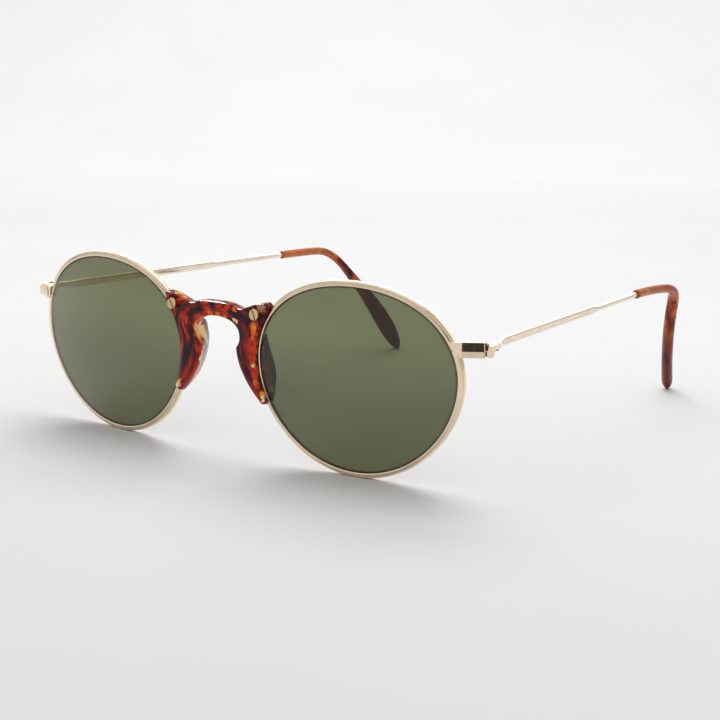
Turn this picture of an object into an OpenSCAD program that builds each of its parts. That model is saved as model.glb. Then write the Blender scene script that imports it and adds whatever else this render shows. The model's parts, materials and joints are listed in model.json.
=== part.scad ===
// Oval wire sunglasses with a keyhole bridge: a pair of grooved metal rims, curved glass lenses,
// one plastic bridge with its nose pads, screwed endpieces, folding temples and plastic tips.
// +X is the wearer's left, +Y runs back towards the ears, +Z is up. The rims and tips stand on z = 0.

/* [Lenses] */
// Width of each lens opening, measured between the rim's inner lips
lens_w = 49; // [47:0.5:51]
// Height of each lens opening
lens_h = 41.34; // [39:0.5:43]
// Distance between the two lens centres
lens_spacing = 72; // [71:0.5:74]
// Radius of the sphere that the lens front follows
lens_curve_r = 102; // [90:1:130]
// Lens thickness
lens_t = 1.4; // [1.2:0.1:1.8]
// Backward turn of each lens towards its temple, in degrees
wrap = 6.26; // [5:0.1:8]
// Backward lean of the lens bottoms, in degrees
tilt = 4.4; // [3:0.1:6]

/* [Rims] */
// Rim wire width, seen from the front
rim_w = 1.2; // [1.1:0.05:1.4]
// Rim wire depth, front to back
rim_d = 1.7; // [1.6:0.05:2]

/* [Bridge] */
// Half width of the keyhole arch over the nose
arch_x = 6.45; // [6:0.05:6.8]
// Height of the bridge bar at its centre
bar_h = 3.65; // [3.3:0.05:4]
// Thickness of the bridge bar, front to back
bar_t = 2.85; // [2.6:0.05:3.1]
// How far the nose pads reach behind the bar
pad_depth = 6.7; // [5:0.1:7]

/* [Endpieces and hinges] */
// Height of the endpiece
end_h = 3.3; // [3.2:0.1:3.8]
// Length of the endpiece's front face
end_len = 6.75; // [6.5:0.05:7]
// Sweep of the endpiece's front face, in degrees
end_sweep = 25; // [24:0.5:26]
// Radius of the hinge barrel
barrel_r = 1.1; // [1:0.05:1.2]
// Radius of the hinge screw's shank
pin_r = 0.5; // [0.45:0.01:0.55]
// Running clearance round the hinge screw
pin_play = 0.05; // [0.03:0.01:0.08]

/* [Temples] */
// Length of the metal arm from its front block to the mouth of the tip
arm_len = 82; // [76:1:88]
// Thickness of the flat stretch of the arm
flat_t = 1.2; // [1.1:0.05:1.4]
// Height of the flat stretch of the arm
flat_h = 1.85; // [1.7:0.05:2.1]
// Diameter of the round wire in front of the tip
wire_d = 1.45; // [1.3:0.05:1.5]
// Length of the tip along its curve
tip_len = 61.1; // [60:0.1:62]
// Widest part of the tip's paddle
paddle_w = 5.1; // [4.6:0.1:5.4]

/* [Hidden] */

gold = [0.83, 0.74, 0.6];
pale_gold = [0.86, 0.8, 0.66];
tortoise = [0.5, 0.14, 0.07];
glass_green = [0.42, 0.45, 0.33, 0.8];
$fn = 48;

// Distance from the middle of the folded-out pair to the reference plane of the lens lips
front_y = -63.43;
a = lens_w / 2;
b = lens_h / 2;
// The lens centre's height puts the lowest point of the rims on z = 0
lens_z = (b + rim_w) * fullness(270) * cos(tilt) - 0.04;

// ---------------------------------------------------------------- shared shapes

function lerp(p, q, t) = p + (q - p) * t;
function smooth(t) = let (c = min(max(t, 0), 1)) c * c * (3 - 2 * c);
function centre(ring) = [for (k = [0 : 2]) [for (p = ring) 1] * [for (p = ring) p[k]] / len(ring)];

// A closed solid over rings that have the same number of points; each end is a fan
module skin(rings) {
    n = len(rings[0]);
    m = len(rings);
    points = concat([for (r = rings) each r], [centre(rings[0]), centre(rings[m - 1])]);
    walls = [for (i = [0 : m - 2]) for (j = [0 : n - 1])
        let (p = i * n + j, q = i * n + (j + 1) % n) each [[p, q, q + n], [p, q + n, p + n]]];
    first = [for (j = [0 : n - 1]) [m * n, (j + 1) % n, j]];
    last = [for (j = [0 : n - 1]) [m * n + 1, (m - 1) * n + j, (m - 1) * n + (j + 1) % n]];
    polyhedron(points, concat(walls, first, last), convexity = 6);
}

// Shapes are drawn for the wearer's left side; side = -1 mirrors them to the right
module on_side(side) {
    if (side > 0) translate([0, front_y, 0]) children();
    else mirror([1, 0, 0]) translate([0, front_y, 0]) children();
}

// A flat-headed screw along +Z: its head's top is at z = 0 and its shank hangs below
module screw(head_r, head_h, shank_r, length, turn = 0) {
    slot_w = head_r * 0.3;
    difference() {
        union() {
            translate([0, 0, -head_h]) cylinder(r = head_r, h = head_h);
            translate([0, 0, -length]) cylinder(r = shank_r, h = length - head_h / 2);
        }
        rotate([0, 0, turn])
            translate([-head_r * 2, -slot_w / 2, -head_h * 0.45]) cube([head_r * 4, slot_w, head_h]);
    }
}

// ---------------------------------------------------------------- lenses and rims

// The opening is an ellipse with a flatter top and fuller upper sides; t = 0 is at the temple
function fullness(t) = 1 + 0.003 * cos(3 * t) + 0.026 * sin(3 * t) - 0.003 * cos(4 * t) + 0.008 * sin(2 * t);
function opening(t, grow) = [(a + grow) * cos(t) * fullness(t), (b + grow) * sin(t) * fullness(t)];

// A point at (u, v) on the curved lens front, moved back by depth
function on_lens(u, v, depth) =
    let (sag = (u * u + v * v - a * a) / (2 * lens_curve_r) + depth)
    [lens_spacing / 2 + u * cos(wrap) - sag * sin(wrap),
     u * sin(wrap) + sag * cos(wrap) - v * sin(tilt),
     lens_z + v * cos(tilt) + depth * sin(tilt)];
function at_rim(t, grow, depth) = let (p = opening(t, grow)) on_lens(p[0], p[1], depth);

rim_steps = 84;
split_angle = 23.3;
split_gap = 0.25;
groove_at = rim_d * 0.26;

// Rim wire section as [outward, back]: a rounded strip with a V inside for the lens
// and a fine line round the outside
function rim_section() = [
    [0, 0.2], [0, 0.62], [0.42, 0.92], [0, 1.22], [0, rim_d - 0.15],
    [0.18, rim_d], [rim_w - 0.22, rim_d], [rim_w, rim_d - 0.22],
    [rim_w, groove_at + 0.16], [rim_w - 0.16, groove_at], [rim_w - 0.02, groove_at - 0.14],
    [rim_w - 0.26, 0.02], [0.3, 0]];

module rim() {
    rings = [for (i = [0 : rim_steps])
        let (t = split_angle + lerp(split_gap, 360 - split_gap, i / rim_steps))
        [for (p = rim_section()) at_rim(t, p[0], p[1])]];
    color(gold) skin(rings);
}

lens_steps = 60;
lens_lip = 0.22;
// Lens half section as [share of the opening's radius, outward, back], from front pole to back pole
function lens_section() = [
    [0.1, 0, lens_lip], [0.35, 0, lens_lip], [0.6, 0, lens_lip], [0.8, 0, lens_lip],
    [1, -0.06, lens_lip], [1, 0.34, 0.92], [1, -0.06, lens_lip + lens_t],
    [0.8, 0, lens_lip + lens_t], [0.6, 0, lens_lip + lens_t],
    [0.35, 0, lens_lip + lens_t], [0.1, 0, lens_lip + lens_t]];

module lens() {
    rings = [for (s = lens_section())
        [for (j = [0 : lens_steps - 1])
            let (p = opening(360 * j / lens_steps, s[1])) on_lens(p[0] * s[0], p[1] * s[0], s[2])]];
    color(glass_green) skin(rings);
}

// ---------------------------------------------------------------- bridge

arch_z = 28.3;
arch_rise = 3.95;
arch_power = 2 / 2.3;
leg_end_z = 13.75;
pinch_x = 5.3;
pinch_z = 25.8;
pinch_angle = 36;
leg_flare = 0.045;
bar_top = arch_z + arch_rise + bar_h;
horn_x = 15.3;
horn_rise = 0.95;
dip_x = 7.4;
dip_depth = 1;
leg_cover = 0.2;
leg_end_angle = 203;
leg_top_angle = 166;
horn_start_angle = 148;

// Front face of the bridge: a plane with the lenses' lean
function bridge_front(z) = -4.35 + (34 - z) * tan(tilt);

function power(v, e) = sign(v) * pow(abs(v), e);
// The nose-side outline: a leg that flares out downwards (h < 0) and the keyhole arch (0 to 1)
function inner(h) = h < 0
    ? let (z = lerp(pinch_z, leg_end_z, -h)) [pinch_x + leg_flare * pow(pinch_z - z, 2), z]
    : let (g = lerp(-pinch_angle, 90, h))
      [arch_x * power(cos(g), arch_power), arch_z + arch_rise * power(sin(g), arch_power)];

function top_z(x) = bar_top - dip_depth * exp(-pow((x - dip_x) / 2.6, 2)) + horn_rise * smooth((x - 9) / 6);
function flat(p) = [p[0], p[2]];
// The outer outline: along the rim on the leg, up to the horn, then along the bar's top
function outer(h) =
    h < 0 ? flat(at_rim(lerp(leg_top_angle, leg_end_angle, -h), leg_cover, 0))
    : h < 0.45 ? flat(at_rim(lerp(leg_top_angle, horn_start_angle, h / 0.45), leg_cover, 0))
    : h < 0.6 ? lerp(flat(at_rim(horn_start_angle, leg_cover, 0)), [horn_x, top_z(horn_x) - 0.3], (h - 0.45) / 0.15)
    : let (x = horn_x * (1 - (h - 0.6) / 0.4) - 0.25 * smooth((0.7 - h) / 0.1)) [x, top_z(x)];

// Back edge of the nose pad: [x, y] at height z
function pad_edge(z) =
    let (rise = z > 24.5 ? (z - 24.5) / 6.7 : (24.5 - z) / 11.3,
         upper = smooth((z - 18) / 9),
         reach = sqrt(max(1 - rise * rise, 0)) * (1 - 0.2 * upper),
         x = z < 26 ? 10.1 + 0.02 * pow(26 - z, 2) : 10.1 - 0.13 * pow(z - 26, 2))
    [x - upper, reach];

// The nose-side line of a leg, carried straight up past the keyhole's pinch
function leg_line(z) = pinch_x + 0.3 + leg_flare * pow(max(pinch_z - z, 0), 2);

// Whether a point of the front view lies outside the rim wire, and how far back that wire starts there
function off_rim(p) =
    let (u = (p[0] - lens_spacing / 2) / cos(wrap) / (a + rim_w), v = (p[1] - lens_z) / cos(tilt) / (b + rim_w))
    norm([u, v]) > fullness(atan2(v, u)) + 0.003;
function rim_front(p) =
    on_lens((p[0] - lens_spacing / 2) / cos(wrap), (p[1] - lens_z) / cos(tilt), 0)[1] - bridge_front(p[1]);
// Width of the seat cut for the rim, found by walking in from the outer outline
function seat_width(q, e, d = 0) = off_rim(q - e * d) || d > 2.5 ? d : seat_width(q, e, d + 0.04);

// One cross section of the bridge between the nose-side and the outer outline
function bridge_ring(h) =
    let (p = inner(h), q = outer(h), w = norm(q - p), e = (q - p) / w,
         leg = 1 - smooth((h - 0.3) / 0.25),
         pad = pad_edge(p[1]),
         reach = leg * pad[1],
         c = min(0.55, w * 0.22),
         found = seat_width(q, e),
         seat = max(found, 0.12),
         on_rim = smooth(found / 0.3),
         seat_from = lerp(bar_t - 0.65, rim_front(q - e * seat / 2) - 0.03, on_rim),
         seat_to = lerp(bar_t - 0.2, rim_front(q - e * seat / 2) + rim_d + 0.06, on_rim),
         back = max(bar_t, seat_to + 0.15),
         pad_in = lerp(w * 0.45, min(max(pad[0] - p[0] - 0.1, 0.3), 5.4), reach),
         pad_y = lerp(back, max(back, pad_depth * pad[1] - 1.3 - bridge_front(p[1])), leg),
         ridge = lerp(back - 0.6, 1, reach),
         pad_middle = lerp(pad_in / 2 - 0.1, (leg_line(p[1]) + pad[0]) / 2 - 0.35 - p[0], reach),
         section = [
            [0, c * 1.5], [c * 0.3, c * 0.45], [c, 0], [w / 2, -0.12], [w - c, 0],
            [w - c * 0.3, c * 0.45], [w, min(c * 1.4, seat_from * 0.7)],
            [w, seat_from], [w - seat, seat_from + 0.01], [w - seat - 0.01, seat_to],
            [lerp(w * 0.62, max(pad_in + 1.25, 1.4), reach), lerp(back, pad_y - 1.6, reach)],
            [pad_in + 1.0, pad_y - 0.35 * reach], [pad_in + 0.35, pad_y + 0.05],
            [pad_in - 0.3 * reach, pad_y - 0.5 * reach],
            [pad_middle, (ridge + pad_y) / 2], [0, ridge]])
    [for (s = section)
        let (x = p[0] + e[0] * s[0], z = p[1] + e[1] * s[0]) [x, bridge_front(z) + s[1], z]];

leg_rings = 18;
bar_rings = 22;
leg_tip = [[0.82, 0.32], [0.45, 0.55]];

// A ring drawn in towards its middle and lowered, for the rounded end of a leg
function drawn_in(ring, share, drop) =
    let (c = centre(ring)) [for (p = ring) lerp(c, p, share) - [0, 0, drop]];

module bridge_blank() {
    leg = [for (i = [leg_rings : -1 : 1]) bridge_ring(-i / leg_rings)];
    ends = [for (i = [1 : -1 : 0]) drawn_in(leg[0], leg_tip[i][0], leg_tip[i][1])];
    half = concat(ends, leg, [for (i = [0 : bar_rings]) bridge_ring(i / bar_rings)]);
    other = [for (i = [len(half) - 2 : -1 : 0]) [for (p = half[i]) [-p[0], p[1], p[2]]]];
    skin(concat(half, other));
}

screw_x = 12.2;
screw_z = 34.05;
screw_head_r = 1.25;
screw_head_h = 0.8;
screw_shank_r = 0.6;
screw_lift = 0.28;
lug_t = 0.75;
peg_x = 12.75;
peg_z = 14.75;
peg_r = 0.6;

// Stands children on the bridge's front at (x, z), with their +Z pointing straight out
module on_front(x, z) {
    translate([x, bridge_front(z), z]) rotate([90 - tilt, 0, 0]) children();
}

module lug_outline() {
    polygon([[10.7, 33.3], [12.4, 32.5], [13.9, 33.5], [15.2, 35.3], [14.9, 36.2], [12.2, 35.5], [10.8, 34.9]]);
}
// The lug's plate lies in a recess in the back of the bar
module lug_plate(behind = 0) {
    translate([0, bridge_front(screw_z) + bar_t + behind, 0]) rotate([90, 0, 0])
        linear_extrude(lug_t + behind) lug_outline();
}

module bridge() {
    color(tortoise) translate([0, front_y, 0]) difference() {
        bridge_blank();
        for (s = [0, 1]) mirror([s, 0, 0]) {
            on_front(screw_x, screw_z) translate([0, 0, -6]) cylinder(r = screw_shank_r + 0.05, h = 8);
            on_front(peg_x, peg_z) translate([0, 0, -6]) cylinder(r = peg_r + 0.02, h = 8);
            lug_plate(1);
        }
    }
}

module upper_lug() {
    color(gold) difference() {
        lug_plate();
        on_front(screw_x, screw_z) translate([0, 0, -6]) cylinder(r = screw_shank_r + 0.02, h = 8);
    }
}

module lower_lug() {
    color(gold) on_front(peg_x, peg_z) translate([0, 0, -2.6]) cylinder(r = peg_r, h = 2.65);
}

module bridge_screw(turn) {
    color(pale_gold) on_front(screw_x, screw_z) translate([0, 0, screw_head_h + screw_lift])
        screw(screw_head_r, screw_head_h, screw_shank_r, screw_head_h + screw_lift + bar_t - 0.1, turn);
}

// ---------------------------------------------------------------- endpieces and hinges

end_t = 1.15;
end_z = 29.35;
end_top = end_z + end_h;
split_z = 31;
roof_from = 2;
roof_proud = 0.35;
ridge_share = 0.43;
block_gap = 0.42;
block_face = 1.2;
block_top = end_top - 0.65;
block_len = 1.9;
knuckle_gap = 0.05;
leaf_from = 3.3;
middle_h = 1.1;
pin_s = 5.6;
pin_n = end_t + barrel_r + 0.05;
end_middle = end_z + end_h / 2;
end_at = at_rim(24, 0.72, -0.3);

// The hinges lean with the lenses, so that the temples fold past each other
module leaning() {
    translate([0, end_at[1], end_middle]) rotate([tilt, 0, 0]) translate([0, -end_at[1], -end_middle]) children();
}
// Local frame of an endpiece: x along its front face, y behind that face
module at_end() {
    leaning() translate([end_at[0], end_at[1], 0]) rotate([0, 0, end_sweep]) children();
}
function from_end(s, n) = [end_at[0] + s * cos(end_sweep) - n * sin(end_sweep),
                           end_at[1] + s * sin(end_sweep) + n * cos(end_sweep)];

module endpiece() {
    color(gold) difference() {
        at_end() union() {
            translate([0, end_t, 0]) rotate([90, 0, 0]) linear_extrude(end_t)
                polygon([[0.55, end_z], [end_len, end_z], [end_len, end_top], [-0.55, end_top]]);
            translate([roof_from, 0, 0]) rotate([90, 0, 90]) linear_extrude(end_len - roof_from - 0.2)
                polygon([[0.1, end_z], [0, end_z], [-roof_proud, end_z + end_h * ridge_share], [0, end_top], [0.1, end_top]]);
        }
        rim_slot();
    }
}

// Room for the rim where the endpiece and its blocks are soldered to it
module rim_slot() {
    skin([for (i = [0 : 12]) let (t = lerp(12, 38, i / 12))
        [at_rim(t, -2.5, -0.12), at_rim(t, -2.5, 6),
         at_rim(t, rim_w, 6), at_rim(t, rim_w, -0.12)]]);
}

closing_s = 2.15;
closing_head_r = 0.68;
module at_closing(z) {
    at_end() translate([closing_s, end_t + block_len / 2 + 0.1, z]) children();
}
module closing_half(from, to) {
    color(gold) difference() {
        at_end() translate([-0.1, end_t, from]) cube([3.1, block_len, to - from]);
        rim_slot();
        at_closing(end_z - 1) cylinder(r = 0.42, h = end_h + 0.5);
        at_closing(end_z - 0.5) cylinder(r = closing_head_r + 0.05, h = 1.05);
    }
}
module closing_screw() {
    color(pale_gold) at_closing(end_z + 0.05) rotate([180, 0, 0]) screw(closing_head_r, 0.45, 0.37, 2.6, 20);
}

module at_pin() {
    at_end() translate([pin_s, pin_n, 0]) children();
}

// Each knuckle as [lowest point, height]; the upper one leaves room for the screw's head
knuckle_h = (end_h - middle_h) / 2 - knuckle_gap - 0.1;
head_room = 0.35;
knuckles = [[end_z + 0.1, knuckle_h], [end_middle + middle_h / 2 + knuckle_gap, knuckle_h - head_room]];
leaf_t = 0.6;
// The leaf's knuckles reach a little past the endpiece and close most of the gap to the temple
lip = 0.22;
lip_t = 0.35;

module hinge_leaf() {
    color(gold) difference() {
        union() {
            for (k = knuckles) {
                at_pin() translate([0, 0, k[0]]) cylinder(r = barrel_r, h = k[1]);
                at_end() translate([pin_s - barrel_r, end_t, k[0]]) cube([barrel_r * 1.8, barrel_r, k[1]]);
                at_end() translate([leaf_from, end_t, k[0]]) cube([pin_s - leaf_from, leaf_t, k[1]]);
                at_end() translate([pin_s, end_t, k[0]]) cube([end_len + lip - pin_s, lip_t, k[1]]);
            }
            at_end() translate([leaf_from, end_t, end_z + 0.1])
                cube([pin_s - barrel_r - 0.15 - leaf_from, leaf_t, end_h - 0.2]);
        }
        at_pin() translate([0, 0, end_z - 1]) cylinder(r = pin_r + 0.02, h = end_h + 2);
    }
}

module hinge_tongue() {
    color(gold) difference() {
        union() {
            at_pin() translate([0, 0, end_middle - middle_h / 2]) cylinder(r = barrel_r, h = middle_h);
            at_end() translate([pin_s, pin_n - barrel_r * 0.6, end_middle - middle_h / 2])
                cube([2.35, barrel_r * 1.5, middle_h]);
        }
        at_pin() translate([0, 0, end_z - 1]) cylinder(r = pin_r + pin_play, h = end_h + 2);
    }
}

module hinge_screw() {
    color(pale_gold) at_pin() translate([0, 0, end_top + 0.05]) screw(0.8, 0.4, pin_r, end_h, 35);
}

// ---------------------------------------------------------------- temples

arm_in = 0.0895;
arm_rise = 0.011;
arm_from = 8.2;
neck_h = 1.4;
neck_w = 1.5;
tip_from = 6.7 + arm_len;
flat_from = 17.3;
flat_to = 60.5;
neck_bend = 2.1;

function arm_x(y) = 63.93 - arm_in * (y - 9) + neck_bend * (1 - smooth((y - 7) / 9));
function arm_z(y) = 31.43 + arm_rise * (y - 9);
function arm_h(y) = y < 30 ? lerp(neck_h, flat_h, smooth((y - 10) / (flat_from - 10)))
                           : lerp(flat_h, wire_d, smooth((y - flat_to) / 5));
function arm_w(y) = y < 30 ? lerp(neck_w, flat_t, smooth((y - 10) / (flat_from - 10)))
                           : lerp(flat_t, wire_d, smooth((y - flat_to) / 5));
function boxiness(y) = lerp(0.5, 1, smooth((y - flat_to) / 4));
function engraving(y) = 0.13 * smooth((y - flat_from) / 0.8) * (1 - smooth((y - flat_to + 0.8) / 0.8));

// Angles round the arm's section; the two at +-18 degrees lie in the engraved lines
arm_angles = [-50, -24, -18, -12, 12, 18, 24, 50, 75, 105, 150, 180, 210, 255, 285];
function arm_ring(y) = [for (g = arm_angles)
    let (x = arm_w(y) / 2 * power(cos(g), boxiness(y)) - (abs(g) == 18 ? engraving(y) : 0),
         z = arm_h(y) / 2 * power(sin(g), boxiness(y)))
    [arm_x(y) + x, y, arm_z(y) + z]];

// ---------------------------------------------------------------- temple tips

path_steps = 120;
tip_step = tip_len / path_steps;
bend_from = 14.9;
bend_over = 15;
bend_down = 46.5;
bend_in = 37.45;
mouth_depth = 2.2;
core_d = 1.1;
core_len = 46;

// Downward and inward heading of the tip after a length s, in degrees
function heading_down(s) = -0.63 + 0.23 * min(s, 17.9) + bend_down * smooth((s - bend_from) / bend_over)
    + 0.3 * max(s - bend_from - bend_over, 0);
function heading_in(s) = 5.1 - 0.52 * min(s, 17.9) + bend_in * smooth((s - bend_from) / bend_over)
    - 0.465 * max(s - bend_from - bend_over, 0);
function along(s) = let (d = heading_down(s), i = heading_in(s)) [-sin(i) * cos(d), cos(i) * cos(d), -sin(d)];
function outwards(s) = let (i = heading_in(s)) [cos(i), sin(i), 0];
function upwards(s) = let (d = heading_down(s), i = heading_in(s)) [-sin(i) * sin(d), cos(i) * sin(d), cos(d)];
tip_path = [for (i = 0, p = [arm_x(tip_from), tip_from, arm_z(tip_from)]; i <= path_steps;
    i = i + 1, p = p + tip_step * along((i - 0.5) * tip_step)) p];

function rounding(s) = let (from = tip_len - 9.7) s < from ? 1 : pow(max(1 - pow((s - from) / 9.75, 2.2), 0), 0.5);
function tip_width(s) = lerp(2.2, paddle_w, smooth((s - 26) / 27)) * rounding(s);
function blunt(s) = let (from = tip_len - 3.6) s < from ? 1 : sqrt(max(1 - pow((s - from) / 3.65, 2), 0));
function tip_thick(s) = lerp(2.2, 3.05, smooth((s - 6) / 26)) * blunt(s);
tip_sides = 14;
// One section of the tip at path point i, grown or shrunk by grow all round
function tip_ring(i, grow = 0) = let (s = i * tip_step) [for (j = [0 : tip_sides - 1])
    let (g = 360 * j / tip_sides)
    tip_path[i] + outwards(s) * cos(g) * (tip_thick(s) / 2 + grow) + upwards(s) * sin(g) * (tip_width(s) / 2 + grow)];
function core_ring(i) = let (s = i * tip_step) [for (g = arm_angles)
    tip_path[i] + outwards(s) * cos(g) * core_d / 2 + upwards(s) * sin(g) * core_d / 2];
tip_stations = [0, 4, 12, 20, 27, 33, 37, 41, 45, 49, 53, 57, 62, 68, 74, 80, 86, 92, 98, 103, 107, 111, 114,
    116, 118, 119, 120];
mouth_station = floor(mouth_depth / tip_step);
mouth_wall = 0.42;

module tip() {
    rings = concat([tip_ring(mouth_station, -0.75), tip_ring(mouth_station, -mouth_wall - 0.1), tip_ring(0, -mouth_wall)],
        [for (i = tip_stations) tip_ring(i, i == 0 ? -0.08 : 0)]);
    color(tortoise) skin(rings);
}

block_from = end_len + block_gap;
front_inner = from_end(block_from, 0);
front_outer = from_end(block_from + block_face, 0);
// The block between hinge and arm: its plan, its side view, and its front view with one corner cut
module front_block() {
    y = front_outer[1];
    intersection() {
        translate([0, 0, end_z]) linear_extrude(end_h) polygon([front_inner, front_outer,
            front_outer + [0.05, 1.2], [arm_x(8.2) + 0.76, 8.2], [arm_x(9.6) + 0.74, 9.6],
            [arm_x(9.6) - 0.75, 9.6], [arm_x(8.2) - 0.75, 8.2], [arm_x(7) - 0.7, 7]]);
        rotate([90, 0, 90]) linear_extrude(100) polygon([[3, end_z + 0.1], [y + 0.1, end_z + 0.1], [y + 0.45, 29.9],
            [y + 0.75, 30.6], [y + 1.5, 30.85], [9.6, 30.8], [9.6, 32.05], [8.2, 32], [3, block_top]]);
        translate([end_at[0], end_at[1], 0]) rotate([90, 0, end_sweep]) translate([0, 0, -20]) linear_extrude(30)
            polygon([[block_from, end_z], [20, end_z], [20, end_top], [block_from + 0.6, end_top],
                [block_from, block_top - 1.5]]);
    }
}

module temple() {
    flat_ys = [for (y = [flat_from - 0.1, flat_from + 0.8, 25, 35, 45, 54, flat_to - 0.8, flat_to]) y];
    ys = concat([arm_from, 9.2, 10.2, 11.4, 12.6, 13.8, 15, 16.2], flat_ys,
        [for (k = [1 : 5]) flat_to + k], [74, 81, tip_from]);
    core = [for (i = tip_stations) if (i > 0 && i * tip_step < core_len) core_ring(i)];
    color(gold) {
        skin(concat([for (y = ys) arm_ring(y)], core));
        leaning() front_block();
    }
}

// ---------------------------------------------------------------- draw

on_side(1) rim();  // rim_left
on_side(-1) rim();  // rim_right
on_side(1) lens();  // lens_left
on_side(-1) lens();  // lens_right
bridge();
on_side(1) upper_lug();  // upper_lug_left
on_side(-1) upper_lug();  // upper_lug_right
on_side(1) lower_lug();  // lower_lug_left
on_side(-1) lower_lug();  // lower_lug_right
on_side(1) bridge_screw(-66);  // bridge_screw_left
on_side(-1) bridge_screw(58);  // bridge_screw_right
on_side(1) endpiece();  // endpiece_left
on_side(-1) endpiece();  // endpiece_right
on_side(1) closing_half(split_z + 0.05, end_top - 0.1);  // closing_block_upper_left
on_side(-1) closing_half(split_z + 0.05, end_top - 0.1);  // closing_block_upper_right
on_side(1) closing_half(end_z + 0.1, split_z - 0.05);  // closing_block_lower_left
on_side(-1) closing_half(end_z + 0.1, split_z - 0.05);  // closing_block_lower_right
on_side(1) closing_screw();  // closing_screw_left
on_side(-1) closing_screw();  // closing_screw_right
on_side(1) hinge_leaf();  // hinge_leaf_left
on_side(-1) hinge_leaf();  // hinge_leaf_right
on_side(1) hinge_tongue();  // hinge_tongue_left
on_side(-1) hinge_tongue();  // hinge_tongue_right
on_side(1) hinge_screw();  // hinge_screw_left
on_side(-1) hinge_screw();  // hinge_screw_right
on_side(1) temple();  // temple_left
on_side(-1) temple();  // temple_right
on_side(1) tip();  // tip_left
on_side(-1) tip();  // tip_right
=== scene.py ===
# Sunglasses with gold wire rims, green glass lenses, a tortoiseshell bridge and tortoiseshell temple tips.
import json
import math

import bmesh
import bpy
from mathutils import Matrix, Vector

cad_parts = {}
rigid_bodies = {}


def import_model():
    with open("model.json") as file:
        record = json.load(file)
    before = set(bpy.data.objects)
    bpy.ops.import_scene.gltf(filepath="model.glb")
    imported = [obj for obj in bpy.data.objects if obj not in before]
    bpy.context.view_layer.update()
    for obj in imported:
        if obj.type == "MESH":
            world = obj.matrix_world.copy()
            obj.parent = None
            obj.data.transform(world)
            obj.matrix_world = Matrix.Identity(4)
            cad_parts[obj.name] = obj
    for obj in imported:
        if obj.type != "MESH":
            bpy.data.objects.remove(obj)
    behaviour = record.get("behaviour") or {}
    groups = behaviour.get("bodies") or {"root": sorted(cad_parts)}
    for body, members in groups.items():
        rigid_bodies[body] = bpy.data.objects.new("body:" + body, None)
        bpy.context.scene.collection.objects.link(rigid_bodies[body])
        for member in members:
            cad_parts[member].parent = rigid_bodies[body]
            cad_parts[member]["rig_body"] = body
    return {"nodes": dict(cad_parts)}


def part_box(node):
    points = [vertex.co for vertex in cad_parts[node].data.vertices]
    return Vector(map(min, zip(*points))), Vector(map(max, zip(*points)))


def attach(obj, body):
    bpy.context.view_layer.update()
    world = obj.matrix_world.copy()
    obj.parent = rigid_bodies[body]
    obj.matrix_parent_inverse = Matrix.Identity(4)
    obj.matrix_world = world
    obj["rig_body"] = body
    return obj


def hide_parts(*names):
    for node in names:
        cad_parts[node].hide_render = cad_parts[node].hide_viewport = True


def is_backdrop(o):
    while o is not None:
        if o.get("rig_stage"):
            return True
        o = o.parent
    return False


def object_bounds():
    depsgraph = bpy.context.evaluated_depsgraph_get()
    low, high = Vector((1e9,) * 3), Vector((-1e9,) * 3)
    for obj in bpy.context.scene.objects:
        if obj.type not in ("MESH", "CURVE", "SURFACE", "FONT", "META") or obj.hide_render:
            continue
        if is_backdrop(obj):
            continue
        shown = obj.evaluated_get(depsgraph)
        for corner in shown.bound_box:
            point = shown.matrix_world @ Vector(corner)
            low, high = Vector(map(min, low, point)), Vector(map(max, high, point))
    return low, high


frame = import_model()
cad_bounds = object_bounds()
MM = 0.001

# ------------------------------------------------------------------ measures shared with the CAD part, in mm
HALF_W, HALF_H = 24.5, 20.67
LENS_SPACING = 72
LENS_CURVE_R = 102
LENS_T = 1.4
WRAP = math.radians(6.26)
TILT = math.radians(4.4)
RIM_W, RIM_D = 1.2, 1.7
SPLIT, SPLIT_GAP = 23.3, 0.25
ARCH_X, BAR_H, BAR_T, PAD_DEPTH = 6.45, 3.65, 2.85, 6.7
ARM_LEN, FLAT_T, FLAT_H, WIRE_D = 82, 1.2, 1.85, 1.45
TIP_LEN, PADDLE_W = 61.1, 5.1


def lerp(p, q, t):
    if isinstance(p, (tuple, list)):
        return [lerp(x, y, t) for x, y in zip(p, q)]
    return p + (q - p) * t


def smooth(t):
    c = min(max(t, 0), 1)
    return c * c * (3 - 2 * c)


def dsin(d):
    return math.sin(math.radians(d))


def dcos(d):
    return math.cos(math.radians(d))


def power(v, e):
    return math.copysign(abs(v) ** e, v)


def fullness(t):
    """How far the lens outline leaves a plain ellipse at the angle t."""
    return 1 + 0.003 * dcos(3 * t) + 0.026 * dsin(3 * t) - 0.003 * dcos(4 * t) + 0.008 * dsin(2 * t)


LENS_Z = (HALF_H + RIM_W) * fullness(270) * math.cos(TILT) - 0.04


def opening(t, grow):
    """A point of the lens outline, grown by some mm, in the lens's own plane."""
    return (HALF_W + grow) * dcos(t) * fullness(t), (HALF_H + grow) * dsin(t) * fullness(t)


def on_lens(u, v, depth):
    """A point of the lens's plane laid on its sphere, turned by the wrap and the lean."""
    sag = (u * u + v * v - HALF_W * HALF_W) / (2 * LENS_CURVE_R) + depth
    return [LENS_SPACING / 2 + u * math.cos(WRAP) - sag * math.sin(WRAP),
            u * math.sin(WRAP) + sag * math.cos(WRAP) - v * math.sin(TILT),
            LENS_Z + v * math.cos(TILT) + depth * math.sin(TILT)]


def at_rim(t, grow, depth):
    u, v = opening(t, grow)
    return on_lens(u, v, depth)


# ------------------------------------------------------------------ mesh helpers

def linked(name, data):
    obj = bpy.data.objects.new(name, data)
    bpy.context.scene.collection.objects.link(obj)
    return obj


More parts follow.
